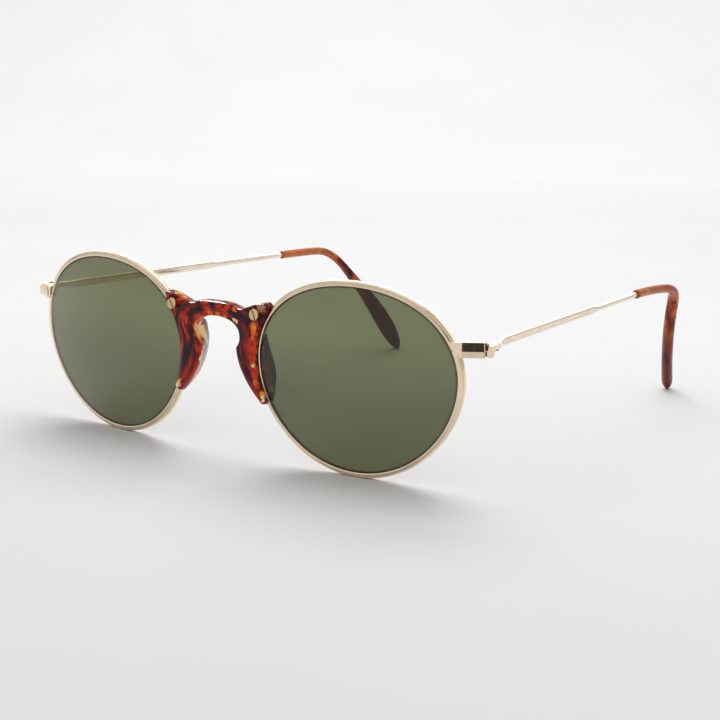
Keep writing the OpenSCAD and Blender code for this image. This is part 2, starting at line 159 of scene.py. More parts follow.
def mesh_object(name, points, faces, flow=None):
    """A mesh from points in mm; flow tells each point's place along, across and through the piece."""
    mesh = bpy.data.meshes.new(name)
    mesh.from_pydata([[c * MM for c in p] for p in points], [], faces)
    bm = bmesh.new()
    bm.from_mesh(mesh)
    bmesh.ops.recalc_face_normals(bm, faces=bm.faces)
    bm.to_mesh(mesh)
    bm.free()
    if flow:
        layer = mesh.attributes.new("flow", "FLOAT_VECTOR", "POINT")
        layer.data.foreach_set("vector", [c for p in flow for c in p])
    return linked(name, mesh)


def skin(name, rings, flows=None, around=False):
    """A solid over rings of points; around joins the last ring to the first."""
    n, m = len(rings[0]), len(rings)
    faces = []
    for i in range(m if around else m - 1):
        for j in range(n):
            k = (i + 1) % m
            faces.append((i * n + j, i * n + (j + 1) % n, k * n + (j + 1) % n, k * n + j))
    if not around:
        faces.append(tuple(range(n - 1, -1, -1)))
        faces.append(tuple((m - 1) * n + j for j in range(n)))
    flow = [p for f in flows for p in f] if flows else None
    return mesh_object(name, [p for r in rings for p in r], faces, flow)


MOST_OF_SIDE = 0.42


def rounded(corners, radius, steps):
    """A closed outline with its corners rounded off."""
    out = []
    n = len(corners)
    for i, p in enumerate(corners):
        a, b = corners[i - 1], corners[(i + 1) % n]
        da, db = math.dist(a, p), math.dist(b, p)
        r = min(radius, da * MOST_OF_SIDE, db * MOST_OF_SIDE)
        start, end = lerp(p, a, r / da), lerp(p, b, r / db)
        for k in range(steps + 1):
            t = k / steps
            out.append(lerp(lerp(start, p, t), lerp(p, end, t), t))
    return out


def finish_shading(obj, angle):
    obj.data.shade_smooth()
    obj.data.set_sharp_from_angle(angle=math.radians(angle))


def apply_modifiers(obj):
    deps = bpy.context.evaluated_depsgraph_get()
    mesh = bpy.data.meshes.new_from_object(obj.evaluated_get(deps))
    obj.modifiers.clear()
    old = obj.data
    obj.data = mesh
    bpy.data.meshes.remove(old)


def mirrored(obj, name):
    """The same piece for the wearer's right side."""
    mesh = obj.data.copy()
    mesh.transform(Matrix.Scale(-1, 4, Vector((1, 0, 0))))
    mesh.flip_normals()
    return linked(name, mesh)


def place(obj, cad_node, body, material):
    """Gives a piece its material and its body, in place of its CAD node."""
    obj.data.materials.clear()
    obj.data.materials.append(material)
    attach(obj, body)
    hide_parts(cad_node)


def both_sides(left, name, cad_node, body, material, flats=False):
    """Places a left piece and its mirror image; flats keeps their broad faces flat."""
    right = mirrored(left, name + "_right")
    left.name = name + "_left"
    for side, obj in (("left", left), ("right", right)):
        if flats:
            hold_flats(obj)
        place(obj, f"{cad_node}_{side}", body.format(side=side), material)


# ------------------------------------------------------------------ materials

def new_material(name):
    m = bpy.data.materials.new(name)
    m.use_nodes = True
    nt = m.node_tree
    return m, nt, nt.nodes["Principled BSDF"]


def node(nt, kind, **values):
    n = nt.nodes.new(kind)
    for key, value in values.items():
        if key in n.inputs:
            n.inputs[key].default_value = value
        else:
            setattr(n, key, value)
    return n


def ramp(nt, stops, source):
    r = nt.nodes.new("ShaderNodeValToRGB")
    elements = r.color_ramp.elements
    while len(elements) < len(stops):
        elements.new(0.5)
    for e, (pos, color) in zip(elements, stops):
        e.position = pos
        e.color = (*color, 1) if isinstance(color, tuple) else (color, color, color, 1)
    nt.links.new(source, r.inputs["Fac"])
    return r.outputs["Color"]


def noise(nt, vector, scale, detail=2, distortion=0, rough=0.5):
    n = node(nt, "ShaderNodeTexNoise", Scale=scale, Detail=detail, Distortion=distortion, Roughness=rough)
    nt.links.new(vector, n.inputs["Vector"])
    return n.outputs["Fac"]


def mix(nt, fac, a, b):
    n = node(nt, "ShaderNodeMix", data_type="RGBA")
    for socket, value in ((n.inputs[0], fac), (n.inputs[6], a), (n.inputs[7], b)):
        if isinstance(value, bpy.types.NodeSocket):
            nt.links.new(value, socket)
        elif isinstance(value, tuple):
            socket.default_value = (*value, 1)
        else:
            socket.default_value = value
    return n.outputs[2]


# Dark brown of painted shade, with some dirt, in the crevices of the gold pieces.
CREVICE_SHADE_AND_DIRT = (0.09, 0.035, 0.012)


def object_place(nt):
    return nt.nodes.new("ShaderNodeTexCoord").outputs["Object"]


def gold(name, tone, rough_low, rough_high, shade_and_dirt_reach=0.4):
    """Polished gold plating: slightly uneven tone, faint polishing marks, and painted shade, with some dirt,
    darkening the crevices.
    """
    m, nt, bsdf = new_material(name)
    at = object_place(nt)
    worn = tuple(c * 0.9 for c in tone)
    color = ramp(nt, [(0.35, worn), (0.62, tone)], noise(nt, at, 260, 3))
    # Painted shade: ambient occlusion darkens slots, grooves and corners towards the dark brown, which also
    # stands for dirt there.
    crevice = node(nt, "ShaderNodeAmbientOcclusion", samples=6, only_local=True)
    crevice.inputs["Distance"].default_value = shade_and_dirt_reach * MM
    open_share = ramp(nt, [(0.3, 0.0), (0.85, 1.0)], crevice.outputs["AO"])
    color = mix(nt, open_share, CREVICE_SHADE_AND_DIRT, color)
    nt.links.new(color, bsdf.inputs["Base Color"])
    fine = noise(nt, at, 2600, 3)
    nt.links.new(ramp(nt, [(0.3, rough_low), (0.75, rough_high)], fine), bsdf.inputs["Roughness"])
    bump = node(nt, "ShaderNodeBump", Strength=0.03, Distance=0.00002)
    nt.links.new(fine, bump.inputs["Height"])
    nt.links.new(bump.outputs["Normal"], bsdf.inputs["Normal"])
    bsdf.inputs["Metallic"].default_value = 1
    return m


FRAYING = 2.2


def patches(nt, color, groups, streaks):
    """Adds fibrous patches of colour to a tortoiseshell, each a chain of spots (x, y, z, radius) in mm."""
    at = object_place(nt)
    wander = node(nt, "ShaderNodeMath", operation="SUBTRACT")
    nt.links.new(streaks, wander.inputs[0])
    wander.inputs[1].default_value = 0.5
    for tone, spots in groups:
        nearest = None
        for x, y, z, r in spots:
            gap = node(nt, "ShaderNodeVectorMath", operation="DISTANCE")
            nt.links.new(at, gap.inputs[0])
            gap.inputs[1].default_value = (x * MM, y * MM, z * MM)
            share = node(nt, "ShaderNodeMath", operation="DIVIDE")
            nt.links.new(gap.outputs["Value"], share.inputs[0])
            share.inputs[1].default_value = r * MM
            if nearest is None:
                nearest = share.outputs["Value"]
            else:
                least = node(nt, "ShaderNodeMath", operation="MINIMUM")
                nt.links.new(nearest, least.inputs[0])
                nt.links.new(share.outputs["Value"], least.inputs[1])
                nearest = least.outputs["Value"]
        ragged = node(nt, "ShaderNodeMath", operation="MULTIPLY_ADD")
        nt.links.new(wander.outputs["Value"], ragged.inputs[0])
        ragged.inputs[1].default_value = FRAYING
        nt.links.new(nearest, ragged.inputs[2])
        color = mix(nt, ramp(nt, [(0.55, 1.0), (1.0, 0.0)], ragged.outputs["Value"]), color, tone)
    return color


PLASTIC_IOR, GLASS_IOR = 1.3, 1.45


def tortoise(name, scale, stops, spot, spots_from, groups=(), shades=()):
    """Polished tortoiseshell: dark, red and amber patches that run along each piece's length.

    The last two groups of patches lie over the dark veins and the others under them. A shade fades
    the colour towards a tone along one axis of the flow, from start to end.
    """
    m, nt, bsdf = new_material(name)
    flow = node(nt, "ShaderNodeAttribute", attribute_name="flow").outputs["Vector"]
    stretch = node(nt, "ShaderNodeMapping", vector_type="POINT")
    stretch.inputs["Scale"].default_value = scale
    nt.links.new(flow, stretch.inputs["Vector"])
    at = stretch.outputs["Vector"]
    color = ramp(nt, stops, noise(nt, at, 1.0, 6, 0.5, 0.6))
    blob = ramp(nt, [(spots_from, 0.0), (spots_from + 0.04, 1.0)], noise(nt, at, 1.45, 2, 0.4, 0.4))
    color = mix(nt, blob, color, spot)
    streaks = noise(nt, at, 3.2, 4, 0.3, 0.55)
    color = patches(nt, color, groups[:-2], streaks)
    veins = ramp(nt, [(0.54, 0.0), (0.62, 0.9)], noise(nt, at, 2.1, 5, 0.6, 0.6))
    color = mix(nt, veins, color, stops[0][1])
    color = patches(nt, color, groups[-2:], streaks)
    parts = node(nt, "ShaderNodeSeparateXYZ")
    nt.links.new(flow, parts.inputs["Vector"])
    for axis, start, end, strength, tone in shades:
        share = node(nt, "ShaderNodeMapRange", interpolation_type="SMOOTHSTEP")
        nt.links.new(parts.outputs[axis], share.inputs["Value"])
        for socket, value in (("From Min", start), ("From Max", end), ("To Max", strength)):
            share.inputs[socket].default_value = value
        color = mix(nt, share.outputs["Result"], color, tone)
    bsdf.inputs["IOR"].default_value = PLASTIC_IOR
    nt.links.new(color, bsdf.inputs["Base Color"])
    fine = noise(nt, flow, 2.2, 2)
    nt.links.new(ramp(nt, [(0.3, 0.05), (0.8, 0.11)], fine), bsdf.inputs["Roughness"])
    bsdf.inputs["Subsurface Weight"].default_value = 0.15
    bsdf.inputs["Subsurface Radius"].default_value = (1, 0.2, 0.05)
    bsdf.inputs["Subsurface Scale"].default_value = 0.0006
    return m


def lens_glass():
    """Green glass with painted shade darkening its lower half, and a painted groove shadow making the
    bevelled edge black.
    """
    m, nt, bsdf = new_material("green_glass")
    cloud = noise(nt, object_place(nt), 60, 1)
    tint = ramp(nt, [(0.3, (0.162, 0.175, 0.091)), (0.7, (0.172, 0.186, 0.097))], cloud)
    # Painted shade: the tint of the lower half, darker as if the floor seen through it lay in shadow.
    lower_shade_tint = ramp(nt, [(0.3, (0.119, 0.129, 0.067)), (0.7, (0.127, 0.137, 0.071))], cloud)
    share = node(nt, "ShaderNodeSeparateXYZ")
    flow = node(nt, "ShaderNodeAttribute", attribute_name="flow").outputs["Vector"]
    nt.links.new(flow, share.inputs["Vector"])
    height = node(nt, "ShaderNodeMapRange", interpolation_type="SMOOTHSTEP")
    nt.links.new(share.outputs["Y"], height.inputs["Value"])
    height.inputs["From Min"].default_value, height.inputs["From Max"].default_value = -6, 11
    tint = mix(nt, height.outputs["Result"], lower_shade_tint, tint)
    # Painted shadow: the lens edge turns black for the shade in the rim's groove.
    edge = node(nt, "ShaderNodeMapRange")
    nt.links.new(share.outputs["X"], edge.inputs["Value"])
    edge.inputs["From Min"].default_value, edge.inputs["From Max"].default_value = 0.98, 0.992
    tint = mix(nt, edge.outputs["Result"], tint, (0.02, 0.018, 0.014))
    nt.links.new(tint, bsdf.inputs["Base Color"])
    bsdf.inputs["Transmission Weight"].default_value = 1
    bsdf.inputs["Roughness"].default_value = 0
    bsdf.inputs["IOR"].default_value = GLASS_IOR
    return m


GOLD = gold("gold_plating", (0.92, 0.745, 0.54), 0.06, 0.16)
ARM_GOLD = gold("pale_gold_plating", (0.93, 0.79, 0.63), 0.06, 0.16)
SCREW_GOLD = gold("screw_gold", (0.86, 0.62, 0.33), 0.14, 0.28)
# The hinge brass is painted dark brown for the shade it sits in behind the endpiece, and its painted crevice
# shade reaches 1.2 mm.
SHADED_HINGE_BRASS = gold("shaded_hinge_brass", (0.2, 0.075, 0.02), 0.3, 0.5, 1.2)
AMBER, CREAM, ORANGE = (0.88, 0.32, 0.04), (0.95, 0.68, 0.32), (0.85, 0.13, 0.006)
RED, ROSE = (0.62, 0.035, 0.004), (0.5, 0.24, 0.14)
BRIDGE_PATCHES = [
    (RED, [(10.8, -67.3, 28, 1.3), (10.4, -67.1, 26, 1.3), (10.3, -67, 24, 1.2), (10.4, -66.9, 22, 1.2),
           (10.7, -66.7, 20, 1.2), (11.2, -66.6, 18, 1.1), (-5.8, -66.9, 24.5, 1.3),
           (-9, -67.2, 30.5, 1.4), (3, -67.9, 33.6, 1.4), (-2.5, -67.9, 34.4, 1.5),
           (1.2, -67.9, 35.4, 1.3), (3.8, -67.9, 34.9, 1.2)]),
    (ORANGE, [(11.4, -67.6, 31.4, 1.15), (11.2, -67.5, 29.9, 1.1), (10.9, -67.4, 28.6, 0.8),
              (10.4, -66.9, 22.6, 0.8), (10.9, -66.7, 18.6, 0.8), (-5.8, -67.3, 29.4, 1.5),
              (-5.6, -66.9, 27.6, 1.3), (-5.6, -66.4, 25.8, 1.0), (0.8, -67.8, 32.7, 1.0),
              (-1.4, -67.8, 32.7, 1.0), (3, -67.8, 32.4, 0.8), (5.8, -67.8, 34.5, 0.9),
              # The last four orange spots, along the bar's top, are a painted glow of light shining through
              # the shell from behind.
              (11.2, -61.8, 20.6, 1.3), (11.1, -62, 18.9, 1.2), (-4.8, -66.5, 35.8, 1.2),
              (-2.3, -66.6, 35.9, 1.3), (0.4, -66.5, 35.9, 1.3), (3.5, -66.5, 35.8, 1.2)]),
    (AMBER, [(-11.9, -66.6, 36.3, 1.2), (-10, -66.4, 35.8, 0.9), (12.9, -66.2, 16, 1.1),
             (-12.6, -66.3, 15.9, 1.1), (11.4, -67.6, 30.8, 0.6), (-9.4, -67.7, 24, 0.6),
             (-5.5, -66.6, 28.6, 1.1), (-5.9, -66, 27, 1.0), (-5.9, -65.8, 25.2, 0.7),
             (11.7, -62.2, 18.4, 1.0), (12.2, -62.1, 17.2, 1.4)]),
    # Cream: the chain of large spots on the inner face of the pad at x below 0 is a painted highlight; the
    # smaller spots are cream flecks in the shell.
    (CREAM, [(-6.2, -65.8, 29.2, 1.3), (-6.6, -64.9, 28.3, 1.7), (-7, -64, 27.2, 1.7),
             (-7.4, -63.1, 26.1, 1.5), (-7.9, -62.3, 25, 1.2), (-6.2, -64.8, 24.2, 0.7),
             (-6.1, -65.2, 23, 0.6), (-6.1, -65.6, 21.6, 0.7), (10.35, -66.9, 22.2, 0.5),
             (5.6, -67.6, 32.2, 0.55), (6.3, -67.6, 31.9, 0.55), (12.7, -66.2, 15.3, 0.6),
             (-12.4, -66.3, 15.1, 0.7), (12.5, -62, 16.7, 1.1)]),
    (ROSE, [(14.1, -67.9, 35.9, 1.3), (13.3, -67.9, 35.6, 1.1)])
]
BRIDGE_SHELL = tortoise("bridge_tortoiseshell", (0.085, 0.42, 0.34), [
    (0.375, (0.012, 0.003, 0.009)), (0.465, (0.05, 0.003, 0.008)), (0.525, (0.24, 0.009, 0.005)),
    (0.595, (0.5, 0.03, 0.004)), (0.69, ORANGE)], AMBER, 0.72, BRIDGE_PATCHES)
TIP_SHELL = tortoise("tip_tortoiseshell", (0.13, 0.36, 0.34), [
    (0.37, (0.03, 0.006, 0.01)), (0.44, (0.19, 0.022, 0.008)), (0.52, (0.44, 0.07, 0.013)),
    (0.62, (0.6, 0.14, 0.02))], (0.66, 0.27, 0.06), 0.68,
    shades=[("X", 66, 52, 0.65, (0.6, 0.18, 0.055)), ("X", 73, 83, 0.8, (0.1, 0.02, 0.022))])
GLASS = lens_glass()

# ------------------------------------------------------------------ rims and lenses

GROOVE_AT = RIM_D * 0.26
RIM_SECTION = rounded([
    [0, 0.2], [0, 0.62], [0.42, 0.92], [0, 1.22], [0, RIM_D - 0.15], [0.18, RIM_D],
    [RIM_W - 0.22, RIM_D], [RIM_W, RIM_D - 0.22], [RIM_W, GROOVE_AT + 0.14], [RIM_W - 0.28, GROOVE_AT + 0.06],
    [RIM_W - 0.28, GROOVE_AT - 0.06], [RIM_W - 0.03, GROOVE_AT - 0.14], [RIM_W - 0.3, 0.02], [0.3, 0]],
    radius=0.1, steps=3)
RIM_STATIONS = 280


def rim():
    """The rim wire, all the way round from one side of its split to the other."""
    rings = []
    for i in range(RIM_STATIONS + 1):
        t = SPLIT + lerp(SPLIT_GAP, 360 - SPLIT_GAP, i / RIM_STATIONS)
        rings.append([at_rim(t, g, d) for g, d in RIM_SECTION])
    obj = skin("rim", rings)
    finish_shading(obj, 50)
    return obj


LENS_AROUND, LENS_RINGS, LENS_LIP = 180, 26, 0.22


def lens():
    """A curved lens of even thickness with a V bevel round its edge."""
    section = [(k / LENS_RINGS, 0, LENS_LIP) for k in range(1, LENS_RINGS)]
    section += [(1, -0.06, LENS_LIP), (1, 0.34, 0.92), (1, -0.06, LENS_LIP + LENS_T)]
    section += [(k / LENS_RINGS, 0, LENS_LIP + LENS_T) for k in range(LENS_RINGS - 1, 0, -1)]
    rings = []
    for share, grow, depth in section:
        ring = []
        for j in range(LENS_AROUND):
            u, v = opening(360 * j / LENS_AROUND, grow)
            ring.append(on_lens(u * share, v * share, depth))
        rings.append(ring)
    obj = skin("lens", rings, [
        [(share, opening(360 * j / LENS_AROUND, 0)[1] * share, 0) for j in range(LENS_AROUND)]
        for share, grow, depth in section])
    finish_shading(obj, 50)
    return obj


rim_left = rim()
FRONT_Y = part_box("rim_left")[0].y / MM - min(v.co.y for v in rim_left.data.vertices) / MM
TO_FRONT = Matrix.Translation((0, FRONT_Y * MM, 0))
rim_left.data.transform(TO_FRONT)
both_sides(rim_left, "rim_wire", "rim", "front", GOLD)
lens_left = lens()
lens_left.data.transform(TO_FRONT)
both_sides(lens_left, "lens_glass", "lens", "front", GLASS)

# ------------------------------------------------------------------ bridge

ARCH_Z, ARCH_RISE = 28.3, 3.95
PINCH_X, PINCH_Z, PINCH_ANGLE = 5.3, 25.8, 36
LEG_END_Z = 13.75
BAR_TOP = ARCH_Z + ARCH_RISE + BAR_H
HORN_X = 15.3
PAD_MIDDLE_Z, PAD_UP, PAD_DOWN, PAD_X = 24.5, 6.7, 11.3, 10.1
LEG_FLOW, BAR_FLOW = 12.5, 15.5


def bridge_front(z):
    return -4.35 + (34 - z) * math.tan(TILT)


def inner(h):
    """The bridge's inner outline: the leg for h below 0, then the arch up to its middle at h = 1."""
    if h < 0:
        z = lerp(PINCH_Z, LEG_END_Z, -h)
        return [PINCH_X + 0.045 * (PINCH_Z - z) ** 2, z]
    g = lerp(-PINCH_ANGLE, 90, h)
    return [ARCH_X * power(dcos(g), 2 / 2.3), ARCH_Z + ARCH_RISE * power(dsin(g), 2 / 2.3)]


def top_z(x):
    return BAR_TOP - math.exp(-((x - 7.4) / 2.6) ** 2) + 0.95 * smooth((x - 9) / 6)


def rim_point(t):
    p = at_rim(t, 0.2, 0)
    return [p[0], p[2]]


def outer(h):
    """The bridge's outer outline: along the rim, round the horn, then its top up to the middle."""
    if h < 0:
        return rim_point(lerp(166, 203, -h))
    if h < 0.45:
        return rim_point(lerp(166, 148, h / 0.45))
    if h < 0.6:
        return lerp(rim_point(148), [HORN_X, top_z(HORN_X) - 0.3], (h - 0.45) / 0.15)
    x = HORN_X * (1 - (h - 0.6) / 0.4) - 0.25 * smooth((0.7 - h) / 0.1)
    return [x, top_z(x)]


def pad_edge(z):
    """Where a pad's back edge lies across, and which share of its depth it reaches, at the height z."""
    rise = (z - PAD_MIDDLE_Z) / PAD_UP if z > PAD_MIDDLE_Z else (PAD_MIDDLE_Z - z) / PAD_DOWN
    upper = smooth((z - 18) / 9)
    x = PAD_X + 0.02 * (26 - z) ** 2 if z < 26 else PAD_X - 0.13 * (z - 26) ** 2
    return x - upper, math.sqrt(max(1 - rise * rise, 0)) * (1 - 0.2 * upper)


def off_rim(p):
    """Whether a point, seen from the front, lies outside the rim."""
    u = (p[0] - LENS_SPACING / 2) / math.cos(WRAP) / (HALF_W + RIM_W)
    v = (p[1] - LENS_Z) / math.cos(TILT) / (HALF_H + RIM_W)
    return math.hypot(u, v) > fullness(math.degrees(math.atan2(v, u))) + 0.003


def rim_front(p):
    """How far the rim's front lies behind the bridge's front at a point."""
    q = on_lens((p[0] - LENS_SPACING / 2) / math.cos(WRAP), (p[1] - LENS_Z) / math.cos(TILT), 0)
    return q[1] - bridge_front(p[1])


def bridge_ring(h):
    """One section of the bridge: its points, and where each lies along, across and through it."""
    p, q = inner(h), outer(h)
    w = math.dist(p, q)
    e = [(q[0] - p[0]) / w, (q[1] - p[1]) / w]
    leg = 1 - smooth((h - 0.3) / 0.25)
    pad_x, pad_reach = pad_edge(p[1])
    reach = leg * pad_reach
    c = min(0.55, w * 0.22)
    found = 0
    while found < 2.5 and not off_rim([q[0] - e[0] * found, q[1] - e[1] * found]):
        found += 0.01
    seat = max(found, 0.12)
    on_rim = smooth(found / 0.3)
    middle = [q[0] - e[0] * seat / 2, q[1] - e[1] * seat / 2]
    seat_from = lerp(BAR_T - 0.65, rim_front(middle) - 0.03, on_rim)
    seat_to = lerp(BAR_T - 0.2, rim_front(middle) + RIM_D + 0.06, on_rim)
    back = max(BAR_T, seat_to + 0.15)
    pad_in = lerp(w * 0.45, min(max(pad_x - p[0] - 0.1, 0.3), 5.4), reach)
    pad_y = lerp(back, max(back, PAD_DEPTH * pad_reach - 1.3 - bridge_front(p[1])), leg)
    ridge = lerp(back - 0.6, 1, reach)
    leg_line = PINCH_X + 0.3 + 0.045 * max(PINCH_Z - p[1], 0) ** 2
    pad_middle = lerp(pad_in / 2 - 0.1, (leg_line + pad_x) / 2 - 0.35 - p[0], reach)
    section = [
        [0, c * 1.5], [c * 0.3, c * 0.45], [c, 0], [w / 2, -0.12], [w - c, 0],
        [w - c * 0.3, c * 0.45], [w, min(c * 1.4, seat_from * 0.7)],
        [w, seat_from], [w - seat, seat_from + 0.01], [w - seat - 0.01, seat_to],
        [lerp(w * 0.62, max(pad_in + 1.25, 1.4), reach), lerp(back, pad_y - 1.6, reach)],
        [pad_in + 1.0, pad_y - 0.35 * reach], [pad_in + 0.35, pad_y + 0.05],
        [pad_in - 0.3 * reach, pad_y - 0.5 * reach],
        [pad_middle, (ridge + pad_y) / 2], [0, ridge]]
    along = h * LEG_FLOW if h < 0 else h * BAR_FLOW
    points, flow = [], []
    for s in section:
        x, z = p[0] + e[0] * s[0], p[1] + e[1] * s[0]
        points.append([x, bridge_front(z) + s[1], z])
        flow.append([along, s[0], s[1]])
    return points, flow


def bridge():
    """The whole bridge: one half's sections, closed below its pad and mirrored."""
    leg_n, bar_n = 44, 56
    hs = [-k / leg_n for k in range(leg_n, 0, -1)] + [k / bar_n for k in range(bar_n + 1)]
    rings, flows = zip(*[bridge_ring(h) for h in hs])
    rings, flows = list(rings), list(flows)
    first = rings[0]
    mid = [sum(p[k] for p in first) / len(first) for k in range(3)]
    for share, drop in ((0.9, 0.18), (0.72, 0.36), (0.42, 0.5)):
        rings.insert(0, [[lerp(mid[0], p[0], share), lerp(mid[1], p[1], share),
                          lerp(mid[2], p[2], share) - drop] for p in first])
        flows.insert(0, [[f[0] - drop, f[1], f[2]] for f in flows[0]])
    rings += [[[-p[0], p[1], p[2]] for p in r] for r in rings[-2::-1]]
    flows += [[[2 * BAR_FLOW - f[0], f[1], f[2]] for f in r] for r in flows[-2::-1]]
    obj = skin("bridge_shell", rings, flows)
    sub = obj.modifiers.new("smooth", "SUBSURF")
    sub.levels = sub.render_levels = 2
    apply_modifiers(obj)
    obj.data.transform(TO_FRONT)
    obj.data.shade_smooth()
    return obj


place(bridge(), "bridge", "front", BRIDGE_SHELL)

# ------------------------------------------------------------------ temples

ARM_IN, ARM_RISE = 0.0895, 0.011
FLAT_FROM, FLAT_TO = 17.3, 60.5
TIP_FROM = 6.7 + ARM_LEN


def arm_x(y):
    return 63.93 - ARM_IN * (y - 9) + 2.1 * (1 - smooth((y - 7) / 9))


def arm_z(y):
    return 31.43 + ARM_RISE * (y - 9)


def arm_size(y, neck, flat):
    if y < 30:
        return lerp(neck, flat, smooth((y - 10) / (FLAT_FROM - 10)))
    return lerp(flat, WIRE_D, smooth((y - FLAT_TO) / 5))


ARM_SIDES, CORE_R = 120, 0.55


def arm_section(y):
    """The arm's section: a rounded strip with two engraved lines on its outer face, then a round wire."""
    width, height = arm_size(y, 1.5, FLAT_T), arm_size(y, 1.4, FLAT_H)
    box = lerp(0.5, 1, smooth((y - FLAT_TO) / 4))
    cut = smooth((y - FLAT_FROM) / 0.4) * (1 - smooth((y - FLAT_TO + 0.5) / 0.4))
    out = []
    for j in range(ARM_SIDES):
        g = 360 * j / ARM_SIDES
        x, z = width / 2 * power(dcos(g), box), height / 2 * power(dsin(g), box)
        if x > 0:
            upper = 0.15 * math.exp(-((z - 0.42) / 0.09) ** 2)
            lower = 0.12 * math.exp(-((z + 0.48) / 0.08) ** 2)
            x -= cut * (upper + lower)
        out.append([x, z])
    return out


def heading_down(s):
    return -0.63 + 0.23 * min(s, 17.9) + 46.5 * smooth((s - 14.9) / 15) + 0.3 * max(s - 29.9, 0)


def heading_in(s):
    return 5.1 - 0.52 * min(s, 17.9) + 37.45 * smooth((s - 14.9) / 15) - 0.465 * max(s - 29.9, 0)


PATH_STEPS = 120
TIP_STEP = TIP_LEN / PATH_STEPS


def along(s):
    d, i = heading_down(s), heading_in(s)
    return [-dsin(i) * dcos(d), dcos(i) * dcos(d), -dsin(d)]


def outwards(s):
    i = heading_in(s)
    return [dcos(i), dsin(i), 0]


def upwards(s):
    d, i = heading_down(s), heading_in(s)
    return [-dsin(i) * dsin(d), dcos(i) * dsin(d), dcos(d)]


TIP_PATH = [[arm_x(TIP_FROM), TIP_FROM, arm_z(TIP_FROM)]]
for step in range(PATH_STEPS):
    heading = along((step + 0.5) * TIP_STEP)
    TIP_PATH.append([c + TIP_STEP * h for c, h in zip(TIP_PATH[-1], heading)])


def tip_point(s):
    i = min(int(s / TIP_STEP), PATH_STEPS - 1)
    return lerp(TIP_PATH[i], TIP_PATH[i + 1], s / TIP_STEP - i)


def rounding(s):
    start = TIP_LEN - 9.7
    return 1 if s < start else max(1 - ((s - start) / 9.75) ** 2.2, 0) ** 0.5


def tip_width(s):
    return lerp(2.2, PADDLE_W, smooth((s - 26) / 27)) * rounding(s)


def tip_thick(s):
    start = TIP_LEN - 3.6
    blunt = 1 if s < start else max(1 - ((s - start) / 3.65) ** 2, 0) ** 0.5
    return lerp(2.2, 3.05, smooth((s - 6) / 26)) * blunt


TIP_SIDES, TIP_FLOW_FROM = 40, 40


def tip_ring(s, grow):
    c, out, up = tip_point(s), outwards(s), upwards(s)
    ring, flow = [], []
    for j in range(TIP_SIDES):
        g = 360 * j / TIP_SIDES
        o, u = dcos(g) * (tip_thick(s) / 2 + grow), dsin(g) * (tip_width(s) / 2 + grow)
        ring.append([c[k] + out[k] * o + up[k] * u for k in range(3)])
        flow.append([s + TIP_FLOW_FROM, u, o])
    return ring, flow


def tip():
    """The plastic tip, from its hollow mouth to its blunt end."""
    stations = [(1.9, -0.75), (1.9, -0.5), (0.1, -0.46), (0, -0.36), (0, -0.12), (0.1, 0)]
    stations += [(0.1 + (TIP_LEN - 10.1) * k / 90, 0) for k in range(1, 91)]
    stations += [(TIP_LEN - 10 * (1 - dsin(90 * k / 24)), 0) for k in range(1, 25)]
    rings, flows = zip(*[tip_ring(min(s, TIP_LEN - 0.004), g) for s, g in stations])
    obj = skin("tip", list(rings), list(flows))
    finish_shading(obj, 60)
    obj.data.transform(TO_FRONT)
    return obj


both_sides(tip(), "tip_shell", "tip", "temple_{side}", TIP_SHELL)


def arm():
    """The metal arm, with a thin core that runs on inside the tip."""
    ys = [8.2 + 0.35 * k for k in range(26)] + [17.25 + 0.1 * k for k in range(8)]
    ys += [18.2 + k for k in range(42)] + [59.9 + 0.1 * k for k in range(9)]
    ys += [60.8 + 0.4 * k for k in range(14)] + [68, 71, 74, 77, 80, 83, 86, TIP_FROM]
    rings = [[[arm_x(y) + x, y, arm_z(y) + z] for x, z in arm_section(y)] for y in ys]
    for s in (0.5, 1, 1.6, 2.2, 3):
        c, out, up = tip_point(s), outwards(s), upwards(s)
        turns = [360 * j / ARM_SIDES for j in range(ARM_SIDES)]
        rings.append([[c[k] + CORE_R * (out[k] * dcos(g) + up[k] * dsin(g)) for k in range(3)]
                      for g in turns])
    obj = skin("arm", rings)
    finish_shading(obj, 35)
    return obj


END_H, END_LEN, END_SWEEP, END_Z = 3.3, 6.75, 25, 29.35
END_TOP, END_MIDDLE = END_Z + END_H, END_Z + END_H / 2
BLOCK_FROM, BLOCK_FACE, BLOCK_TOP = END_LEN + 0.42, 1.2, END_TOP - 0.65
END_AT = at_rim(24, 0.72, -0.3)
LEAN = (Matrix.Translation((0, END_AT[1] * MM, END_MIDDLE * MM)) @ Matrix.Rotation(TILT, 4, "X")
        @ Matrix.Translation((0, -END_AT[1] * MM, -END_MIDDLE * MM)))


def from_end(s, n):
    return [END_AT[0] + s * dcos(END_SWEEP) - n * dsin(END_SWEEP),
            END_AT[1] + s * dsin(END_SWEEP) + n * dcos(END_SWEEP)]


def prism(name, outline, start, end, axis):
    """A straight prism of a flat outline, along the named axis."""
    def put(p, t):
        return {"x": [t, p[0], p[1]], "y": [p[0], t, p[1]], "z": [p[0], p[1], t]}[axis]
    return skin(name, [[put(p, start) for p in outline], [put(p, end) for p in outline]])


def bevelled(obj, width, angle=25):
    mod = obj.modifiers.new("edges", "BEVEL")
    mod.width, mod.segments = width * MM, 3
    mod.limit_method, mod.angle_limit = "ANGLE", math.radians(angle)
    apply_modifiers(obj)


def hold_flats(obj):
    """Smooth shading that leaves broad faces flat."""
    obj.data.shade_smooth()
    mod = obj.modifiers.new("flats", "WEIGHTED_NORMAL")
    mod.weight, mod.keep_sharp = 100, False
    apply_modifiers(obj)


def trimmed(obj, outline, start, end, axis, turn=None):
    """Keeps what lies inside a prism."""
    cutter = prism("cutter", outline, start, end, axis)
    if turn:
        cutter.data.transform(turn)
    mod = obj.modifiers.new("cut", "BOOLEAN")
    mod.operation, mod.solver, mod.object = "INTERSECT", "EXACT", cutter
    apply_modifiers(obj)
    bpy.data.objects.remove(cutter)


